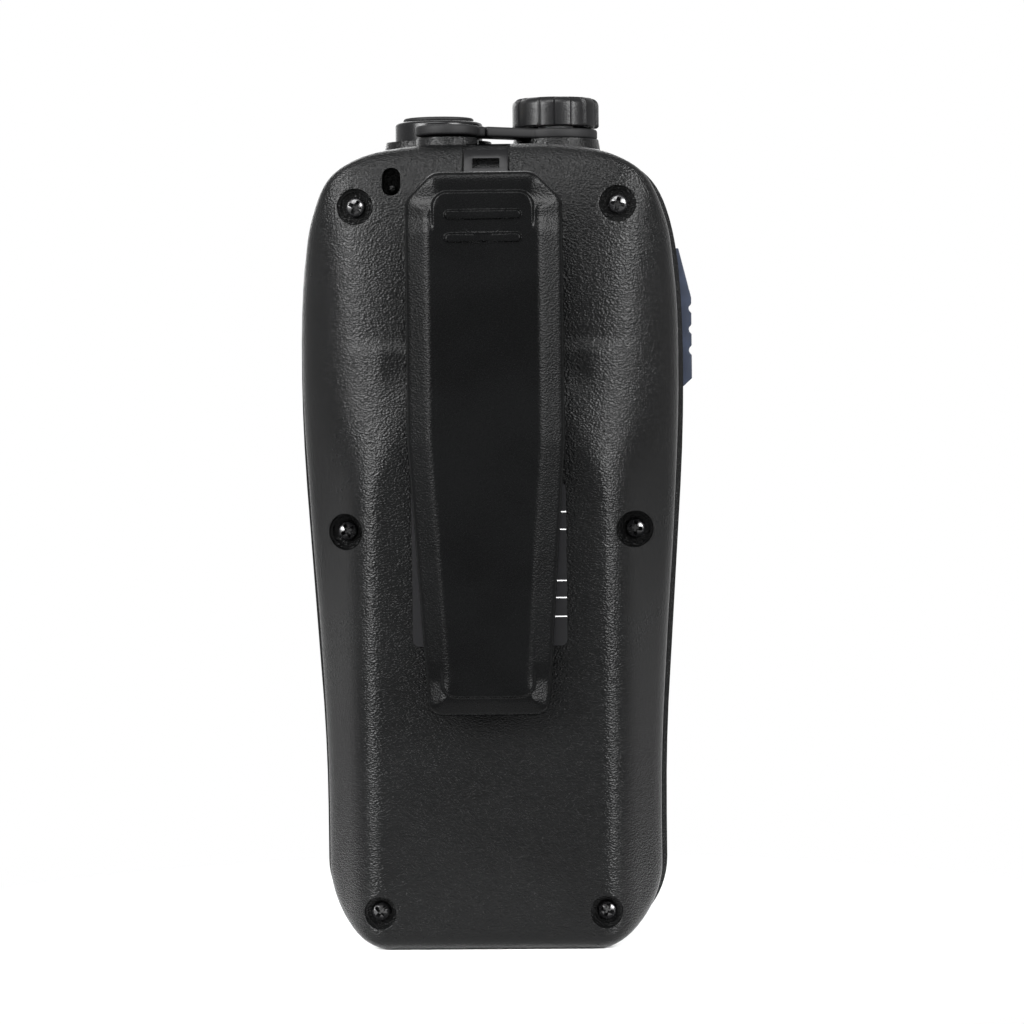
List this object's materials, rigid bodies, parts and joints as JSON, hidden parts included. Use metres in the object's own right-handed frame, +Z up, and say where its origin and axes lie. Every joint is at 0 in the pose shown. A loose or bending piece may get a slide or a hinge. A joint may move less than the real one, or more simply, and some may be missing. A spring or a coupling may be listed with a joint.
{
  "type": "vhf marine radio",
  "caption": "Handheld two-way radio in two screwed shells, with a belt clip, antenna port, volume knob, capped accessory jack, side talk button, display and keypad.",
  "frame": {"origin": "middle of the flat bottom face, on the parting plane between the front and rear shells", "axes": "+Z up towards the antenna port, +Y out of the back (belt clip side), -Y out of the display and keypad"},
  "size_m": [0.0661, 0.0476, 0.1421],
  "materials": {
    "case_plastic": "moulded, fine leather-like grain",
    "clip_plastic": "moulded, fine grain",
    "bracket_black": "satin black",
    "knob_plastic": "satin, moulded",
    "black_rubber": "matte",
    "port_plastic": "satin",
    "blue_rubber": "matte navy",
    "screw_black": "black oxide, glossy",
    "steel": "plain",
    "brass": "plated",
    "white_plastic": "plain",
    "board_green": "solder mask",
    "chip_black": "plain",
    "frame_metal": "die cast",
    "battery_sleeve": "shrink film",
    "lens_clear": "clear",
    "lcd_glass": "grey-green liquid crystal display",
    "cone_black": "film",
    "key_rubber": "matte, dark grey",
    "label_film": "printed film"
  },
  "bodies": {
    "root": {"antenna_collar": "port_plastic", "antenna_connector": "brass", "antenna_contact": "brass", "antenna_insulator": "white_plastic", "antenna_nut": "steel", "antenna_seal": "black_rubber", "battery_cells": "battery_sleeve", "battery_connector": "white_plastic", "battery_pad": "black_rubber", "battery_tray": "chip_black", "board_parts": "chip_black", "bracket_screws": "screw_black", "cap_strap": "black_rubber", "case_screws": "screw_black", "case_seal": "black_rubber", "charge_block": "white_plastic", "charge_contacts": "brass", "chassis_frame": "frame_metal", "clip_bracket": "bracket_black", "clip_pin": "steel", "clip_spring": "steel", "control_body": "chip_black", "control_gasket": "black_rubber", "control_nut": "steel", "display_lens": "lens_clear", "dome_switches": "frame_metal", "frame_screws": "screw_black", "front_case": "case_plastic", "jack_socket": "chip_black", "keypad_mat": "black_rubber", "lcd_frame": "chip_black", "lcd_panel": "lcd_glass", "light_guide": "white_plastic", "main_board": "board_green", "microphone_boot": "black_rubber", "microphone_capsule": "frame_metal", "ptt_switch": "chip_black", "rating_label": "label_film", "rear_case": "case_plastic", "rf_shield": "steel", "speaker_cone": "cone_black", "speaker_frame": "steel", "speaker_magnet": "frame_metal", "speaker_membrane": "cone_black"},
    "knob": {"volume_knob": "knob_plastic", "control_shaft": "steel"},
    "ptt": {"ptt_button": "blue_rubber", "ptt_plunger": "chip_black"},
    "dust_cap": {"dust_cap": "black_rubber"},
    "clip": {"clip_arm": "clip_plastic"},
    "key_down": {"key_down": "key_rubber"},
    "key_level": {"key_level": "key_rubber"},
    "key_light": {"key_light": "key_rubber"},
    "key_menu": {"key_menu": "key_rubber"},
    "key_power": {"key_power": "key_rubber"},
    "key_scan": {"key_scan": "key_rubber"},
    "key_sixteen": {"key_sixteen": "key_rubber"},
    "key_up": {"key_up": "key_rubber"},
    "key_weather": {"key_weather": "key_rubber"}
  },
  "joints": [
    {"name": "knob_turn", "type": "hinge", "parent": "root", "child": "knob", "pos_m": [-0.011, -0.0085, 0.1371], "axis": [0, 0, -1], "range_deg": [0, 280]},
    {"name": "ptt_press", "type": "slide", "parent": "root", "child": "ptt", "axis": [1, 0, 0], "range_m": [0, 0.0008], "stiffness_N_per_m": 3000},
    {"name": "cap_lift", "type": "hinge", "parent": "root", "child": "dust_cap", "pos_m": [0.00197, 0.0017, 0.1368], "axis": [0.6182, -0.786, 0], "range_deg": [0, 85], "stiffness_Nm_per_rad": 0.005},
    {"name": "clip_open", "type": "hinge", "parent": "root", "child": "clip", "pos_m": [0, 0.0232, 0.113], "axis": [1, 0, 0], "range_deg": [0, 12], "stiffness_Nm_per_rad": 1, "springref_deg": -20.05, "deforming": ["clip_spring"]},
    {"name": "press_down", "type": "slide", "parent": "root", "child": "key_down", "axis": [0, 1, 0], "range_m": [0, 0.0004], "stiffness_N_per_m": 4000},
    {"name": "press_level", "type": "slide", "parent": "root", "child": "key_level", "axis": [0, 1, 0], "range_m": [0, 0.0004], "stiffness_N_per_m": 4000},
    {"name": "press_light", "type": "slide", "parent": "root", "child": "key_light", "axis": [0, 1, 0], "range_m": [0, 0.0004], "stiffness_N_per_m": 4000},
    {"name": "press_menu", "type": "slide", "parent": "root", "child": "key_menu", "axis": [0, 1, 0], "range_m": [0, 0.0004], "stiffness_N_per_m": 4000},
    {"name": "press_power", "type": "slide", "parent": "root", "child": "key_power", "axis": [0, 1, 0], "range_m": [0, 0.0004], "stiffness_N_per_m": 4000},
    {"name": "press_scan", "type": "slide", "parent": "root", "child": "key_scan", "axis": [0, 1, 0], "range_m": [0, 0.0004], "stiffness_N_per_m": 4000},
    {"name": "press_sixteen", "type": "slide", "parent": "root", "child": "key_sixteen", "axis": [0, 1, 0], "range_m": [0, 0.0004], "stiffness_N_per_m": 4000},
    {"name": "press_up", "type": "slide", "parent": "root", "child": "key_up", "axis": [0, 1, 0], "range_m": [0, 0.0004], "stiffness_N_per_m": 4000},
    {"name": "press_weather", "type": "slide", "parent": "root", "child": "key_weather", "axis": [0, 1, 0], "range_m": [0, 0.0004], "stiffness_N_per_m": 4000}
  ]
}
